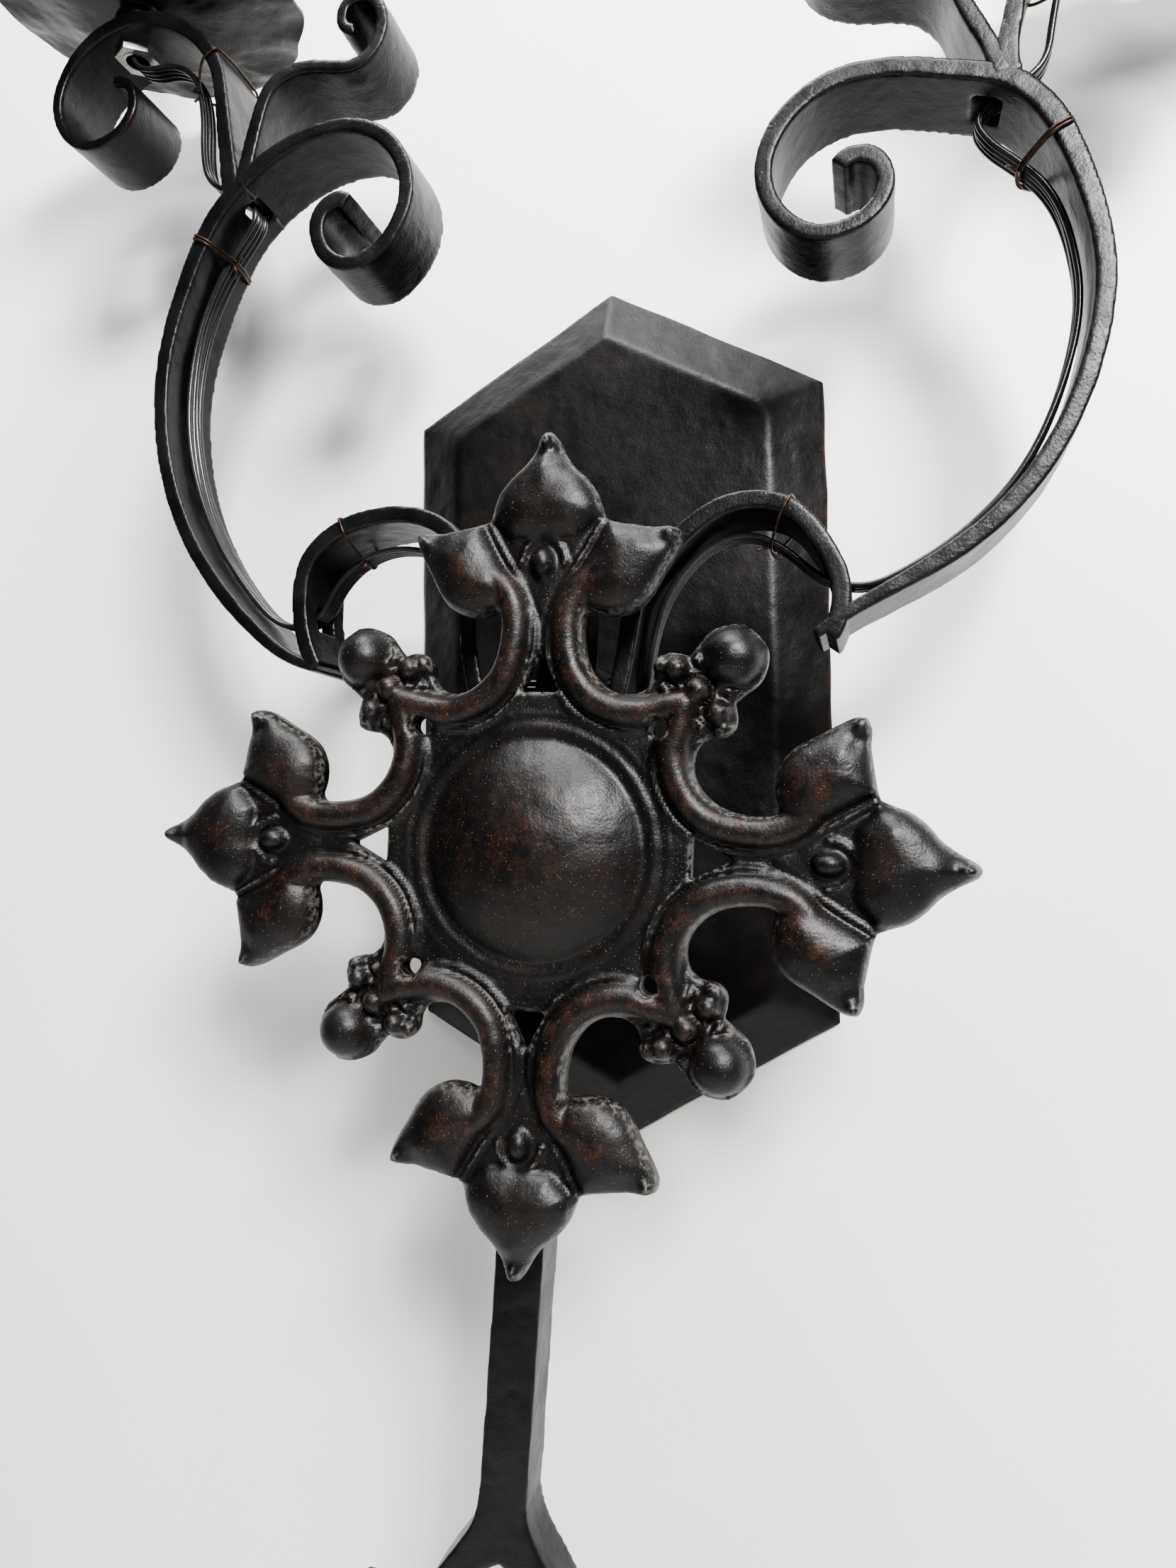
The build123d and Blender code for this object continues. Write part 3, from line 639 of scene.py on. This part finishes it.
def tubeTree():
    tree = bpy.data.node_groups.new("tubeAlongRoute", "GeometryNodeTree")
    tree.is_modifier = True
    face = tree.interface
    face.new_socket("Geometry", in_out="INPUT", socket_type="NodeSocketGeometry")
    sockets = {
        "radius": face.new_socket("Tube radius", in_out="INPUT", socket_type="NodeSocketFloat"),
        "sides": face.new_socket("Sides", in_out="INPUT", socket_type="NodeSocketInt"),
        "finish": face.new_socket("Finish", in_out="INPUT", socket_type="NodeSocketMaterial"),
    }
    face.new_socket("Geometry", in_out="OUTPUT", socket_type="NodeSocketGeometry")
    start, end = tree.nodes.new("NodeGroupInput"), tree.nodes.new("NodeGroupOutput")
    circle = tree.nodes.new("GeometryNodeCurvePrimitiveCircle")
    sweep = tree.nodes.new("GeometryNodeCurveToMesh")
    smooth = tree.nodes.new("GeometryNodeSetShadeSmooth")
    real = tree.nodes.new("GeometryNodeRealizeInstances")
    coat = tree.nodes.new("GeometryNodeSetMaterial")
    sweep.inputs["Fill Caps"].default_value = True
    for source, target in (
        (start.outputs["Tube radius"], circle.inputs["Radius"]),
        (start.outputs["Sides"], circle.inputs["Resolution"]),
        (start.outputs["Geometry"], sweep.inputs["Curve"]),
        (circle.outputs["Curve"], sweep.inputs["Profile Curve"]),
        (sweep.outputs["Mesh"], smooth.inputs["Geometry"]),
        (smooth.outputs["Geometry"], real.inputs["Geometry"]),
        (real.outputs["Geometry"], coat.inputs["Geometry"]),
        (start.outputs["Finish"], coat.inputs["Material"]),
        (coat.outputs["Geometry"], end.inputs["Geometry"]),
    ):
        tree.links.new(source, target)
    return tree, {key: socket.identifier for key, socket in sockets.items()}


routeTree, routeInputs = tubeTree()


tubeSettings = {"sides": 12, "steps": 8}


def tubes(name, routes, radius, finish, closed=False):     # plain mesh tubes along smooth routes
    data = bpy.data.curves.new(name, "CURVE")
    data.dimensions = "3D"
    data.resolution_u = tubeSettings["steps"]
    for route in routes:
        spline = data.splines.new("NURBS")
        spline.points.add(len(route) - 1)
        for point, place in zip(spline.points, route):
            point.co = (*(x * mm for x in place), 1)
        spline.use_cyclic_u = closed
        spline.order_u = 3
        spline.use_endpoint_u = not closed
    holder = bpy.data.objects.new(name + "_route", data)
    bpy.context.scene.collection.objects.link(holder)
    modifier = holder.modifiers.new("tube", "NODES")
    modifier.node_group = routeTree
    modifier[routeInputs["radius"]] = radius * mm
    modifier[routeInputs["sides"]] = tubeSettings["sides"]
    modifier[routeInputs["finish"]] = finishes[finish]
    mesh = bpy.data.meshes.new_from_object(holder.evaluated_get(bpy.context.evaluated_depsgraph_get()))
    holder.modifiers.clear()
    bpy.data.objects.remove(holder)
    return addPiece(name, mesh, finish)


barMiddle, barFront, barBack, exitBack = 65.7, 78.4, 53.0, 44.0
wires = {
    "radius": 0.95, "pitch": 1.96, "strands": 4, "sway": 0.3,
    "start": {"left": 33.0, "right": 24.8},
    # distance from the middle and height
    "route": {
        "left": [(33.5, 24), (38, 36.5), (48, 42), (61, 43), (72, 38.8), (79.6, 31), (83.2, 22.5), (91, 17.2),
                 (101, 19), (111.4, 29), (124, 44.5), (133.5, 64), (138.7, 86), (138.9, 108), (135, 126.5),
                 (127, 142.5), (120, 152), (116, 159), (120, 163.6), (128, 168.4), (136, 173), (139, 182),
                 (139.6, 199), (143.5, 212), (153, 217), (163, 216.4), (169.3, 219.5), (170, 228),
                 (170, 245)],
        "right": [(27.8, 21), (34.5, 33.5), (43, 41.4), (54, 44.4), (64, 40), (72, 32.8), (77.5, 29.5),
                  (87, 27.4), (96, 30.8), (114, 42.3), (130, 59.5), (139.4, 84), (142.9, 106),
                  (139.6, 126), (134, 139), (125, 147.6), (117.6, 153.5), (113.6, 160), (118, 165.4),
                  (126.5, 169.8), (132.5, 175.5),
                  (134, 187), (136, 202), (142, 210.4), (151, 214), (160.5, 213.4), (166.8, 216.5),
                  (167.5, 225), (167.5, 242)],
    },
}


def makeWires(side, c):
    sign, strands = sides[side], []
    for k in range(c["strands"]):
        offset = (k - (c["strands"] - 1) / 2) * c["pitch"]
        points = [(sign * 5.5, -exitBack, offset), (sign * c["start"][side], -exitBack, offset),
                  (sign * c["start"][side], -barMiddle + offset, offset)]
        route = c["route"][side]
        for place, (x, z) in enumerate(route):
            free = math.sin(math.pi * place / (len(route) - 1))
            sway = c["sway"] * free * math.sin(1.7 * place + 2.1 * k)
            points.append((sign * (x + sway), -barMiddle + offset, z - 0.6 * sway))
        strands.append(points)
    piece = tubes(f"wires_{side}", strands, c["radius"], "wire_jacket")
    settle(piece, "frame", "wire_jacket", f"lamp_wires_{side}")


ties = {
    "radius": 0.45, "gap": 1.05,
    # middle of the bar, direction towards the wires, reach past them, turns
    "spots": {
        "left": [(73.5, 47.9, -0.418, -0.909, 10.2, 1), (130.9, 146.6, -0.899, -0.437, 7.3, 2),
                 (131.1, 210.6, 0.861, -0.509, 11.0, 1)],
        "right": [(65.3, 49.4, -0.456, -0.89, 10.2, 1), (135.7, 149.8, -0.885, -0.466, 10.8, 2),
                  (126.7, 203.8, 0.929, -0.369, 10.6, 1)],
    },
}


def makeTies(side, c):
    sign, loops, ends = sides[side], [], []
    for x, z, ax, az, reach, turns in c["spots"][side]:
        lift = 0.4
        for turn in range(turns):
            slide = (turn - (turns - 1) / 2) * c["gap"]

            def at(out, y, skew=0.0):
                along = slide + skew
                return (sign * (x + ax * out - az * along), -y, z + az * out + ax * along)

            loops.append([at(-3.4, barFront + lift), at(-3.9, barMiddle + 3, 0.2),
                          at(-3.9, barMiddle - 3, 0.4), at(-3.4, barBack - lift, 0.7),
                          at(0, barBack - 0.8, 0.8), at(3.4, barBack - lift, 0.8),
                          at(reach * 0.8, barMiddle - 7.5, 0.7), at(reach + 0.4, barMiddle - 3.4, 0.6),
                          at(reach + 0.6, barMiddle, 0.3), at(reach + 0.4, barMiddle + 3.4, 0.1),
                          at(reach * 0.8, barMiddle + 7.5, 0), at(3.4, barFront + lift, -0.1),
                          at(0, barFront + 0.8, -0.1)])
        ends.append([at(reach + 0.3, barMiddle + 3.0, 0.1), at(reach + 1.3, barMiddle + 3.6, 0.9),
                     at(reach + 2.4, barMiddle + 3.2, 2.0), at(reach + 2.6, barMiddle + 2.4, 3.4),
                     at(reach + 1.8, barMiddle + 2.0, 4.4)])
        ends.append([at(reach + 0.3, barMiddle + 2.6, -0.1), at(reach + 1.5, barMiddle + 3.0, -0.9),
                     at(reach + 2.2, barMiddle + 4.2, -2.0), at(reach + 3.4, barMiddle + 4.6, -2.6)])
    wound = tubes(f"ties_{side}", loops, c["radius"], "tie_wire", closed=True)
    loose = tubes(f"tie_ends_{side}", ends, c["radius"], "tie_wire")
    settle(wound, "frame", "tie_wire", f"tie_wires_{side}")
    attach(loose, "frame")


for side in sides:
    makeWires(side, wires)
    makeTies(side, ties)
print("wires and ties")


# a closed section turned about a vertical line; shape may move each point by its angle
def spun(name, centre, section, steps, shape, finish):
    section = np.array(section, float)
    angles = 2 * math.pi * np.arange(steps) / steps
    radius, angle = np.meshgrid(section[:, 0], angles)
    height = np.tile(section[:, 1], (steps, 1))
    radius, height = shape(radius, height, angle)
    across, forward = radius * np.cos(angle), radius * np.sin(angle)
    verts = np.stack([centre[0] + across, centre[1] + forward, centre[2] + height], 2)
    ids = np.arange(steps * len(section)).reshape(steps, len(section))
    right, up = np.roll(ids, -1, 0), np.roll(ids, -1, 1)
    faces = np.stack([ids, right, np.roll(right, -1, 1), up], 2).reshape(-1, 4).tolist()
    piece = newPiece(name, verts.reshape(-1, 3), faces, finish)
    shell = bmesh.new()
    shell.from_mesh(piece.data)
    bmesh.ops.recalc_face_normals(shell, faces=shell.faces)
    shell.to_mesh(piece.data)
    shell.free()
    piece.data.shade_smooth()
    return piece


candles = {
    "x": {"left": -170.0, "right": 167.5}, "crest": {"left": 230.6, "right": 227.6},
    "seed": {"left": 60, "right": 70}, "scallops": 15, "flutes": 8, "panSheet": 1.3,
    # sections as distance from the candle's axis and height above the scroll's crest
    "knob": [(5.25, -1.4), (7.0, -1.4), (7.2, 0.6), (6.6, 1.5), (7.7, 2.6), (8.45, 4.2), (8.45, 5.8),
             (7.7, 7.4), (6.6, 8.5), (7.0, 9.4), (7.0, 10.0), (5.25, 10.0)],
    "panUnder": [(5.25, 10.0), (14, 10.0), (23, 10.1), (29, 11.2), (36, 13.2), (43, 15.2), (49, 16.3),
                 (54, 17.2), (56.0, 17.6)],
    "cup": [(5.25, 11.3), (8.6, 11.3), (9.6, 12.2), (10.4, 13.8), (12.0, 16.0), (13.4, 18.8), (14.2, 22.4),
            (14.1, 25.4), (14.7, 28.0), (14.2, 28.3), (13.4, 27.0), (13.0, 23.0), (12.3, 20.2), (11.5, 17.6),
            (11.5, 14.9), (5.25, 14.8)],
}


def makeCandleEnd(side, c):
    centre = (c["x"][side], -barMiddle, c["crest"][side])
    seed = c["seed"][side]

    def asDrawn(r, h, angle):
        return r, h

    def wavy(r, h, angle):
        rim = np.clip((r - 30) / 26, 0, 1)
        wave = np.cos(c["scallops"] * angle + 0.7 * np.sin(2 * angle + seed))
        wave = wave + 0.35 * np.sin(4 * angle + seed)
        spots = np.stack([r * np.cos(angle), r * np.sin(angle), 0 * h], 2).reshape(-1, 3) * mm
        beaten = hammered(spots, 11, seed).reshape(r.shape)
        inner = np.clip((r - 12) / 10, 0, 1)
        return r + rim**2 * (0.9 * wave - 0.4), h + 1.0 * rim**2 * wave + 0.7 * inner * beaten

    def fluted(r, h, angle):
        lip = np.clip((h - 20) / 8, 0, 1)
        flute = np.cos(c["flutes"] * angle)
        return r + 0.35 * lip * flute, h - 0.5 * lip * (1 - flute) / 2

    under = lineThrough(c["panUnder"], 6)
    over = under[::-1] + (0, c["panSheet"])
    knob = spun(f"turned_knob_{side}", centre, lineThrough(c["knob"], 4), 64, asDrawn, "forged_iron")
    pan = spun(f"dished_pan_{side}", centre, np.vstack([under, over]), 260, wavy, "forged_iron")
    cup = spun(f"fluted_cup_{side}", centre, lineThrough(c["cup"], 4), 96, fluted, "forged_iron")
    for piece, node in ((knob, "knob"), (pan, "drip_pan"), (cup, "candle_cup")):
        markWear(piece.data, 4.0, 2)
        settle(piece, "frame", "forged_iron", f"{node}_{side}")


for side in sides:
    makeCandleEnd(side, candles)
print("candle ends")


studio = {
    "wall": 0.6, "halfWidth": 2600, "top": 1900, "floor": -900, "cove": 260, "coveSteps": 12, "reach": -2600,
    "shade": (0.86, 0.855, 0.84), "pale": (0.90, 0.895, 0.885), "rough": 0.42,
    "sky": (0.86, 0.88, 0.92, 1), "skyStrength": 0.07, "look": "AgX - Medium High Contrast",
}


def makeStudio(c):
    line = [(c["wall"], c["top"]), (c["wall"], c["floor"] + c["cove"])]
    for k in range(1, c["coveSteps"] + 1):
        a = math.pi / 2 * k / c["coveSteps"]
        line.append((c["wall"] - c["cove"] * (1 - math.cos(a)), c["floor"] + c["cove"] * (1 - math.sin(a))))
    line.append((c["reach"], c["floor"]))
    verts = [(x, y, z) for y, z in line for x in (-c["halfWidth"], c["halfWidth"])]
    faces = [(2 * k, 2 * k + 2, 2 * k + 3, 2 * k + 1) for k in range(len(line) - 1)]
    mesh = bpy.data.meshes.new("backdrop")
    mesh.from_pydata([tuple(x * mm for x in v) for v in verts], [], faces)
    g = Graph("paleWall")
    tone = g.cloud(240, 2).rise(0.3, 0.8)
    colour = g.mix(tone, c["shade"], c["pale"])
    plain = g.node("ShaderNodeBsdfPrincipled", {}, {"Base Color": colour, "Roughness": c["rough"]})
    behind = g.node("ShaderNodeNewGeometry", {}, {}, "Backfacing")
    clear = g.node("ShaderNodeBsdfTransparent", {}, {})
    surface = g.node("ShaderNodeMixShader", {}, {0: behind, 1: plain, 2: clear})
    g.node("ShaderNodeOutputMaterial", {}, {"Surface": surface})
    mesh.materials.append(g.material)
    mesh.shade_smooth()
    backdrop = bpy.data.objects.new("backdrop", mesh)
    bpy.context.scene.collection.objects.link(backdrop)


lights = {
    "window": {"place": (0.50, -0.95, 0.62), "aim": (0.0, 0.0, 0.05), "size": (0.42, 0.30), "power": 38,
               "colour": (1, 1, 1)},
    "ceiling": {"place": (-0.10, -0.50, 1.25), "aim": (0.0, -0.05, 0.0), "size": (0.9, 0.4), "power": 30,
                "colour": (1, 1, 1)},
    "low": {"place": (0.15, -0.55, -1.15), "aim": (0.0, -0.05, -0.05), "size": (0.8, 0.3), "power": 3,
            "colour": (1.0, 0.96, 0.92)},
}


def softLight(name, c):
    data = bpy.data.lights.new(name, "AREA")
    data.shape = "RECTANGLE"
    data.size, data.size_y = c["size"]
    data.energy, data.color = c["power"], c["colour"]
    light = bpy.data.objects.new(name, data)
    light.location = c["place"]
    light.rotation_mode = "QUATERNION"
    light.rotation_quaternion = (Vector(c["aim"]) - Vector(c["place"])).to_track_quat("-Z", "Y")
    bpy.context.scene.collection.objects.link(light)


makeStudio(studio)
for name, light in lights.items():
    softLight(name, light)
world = bpy.data.worlds.new("studio")
world.use_nodes = True
sky = world.node_tree.nodes["Background"]
sky.inputs[0].default_value = studio["sky"]
sky.inputs[1].default_value = studio["skyStrength"]
bpy.context.scene.world = world
bpy.context.scene.view_settings.look = studio["look"]
print("studio")
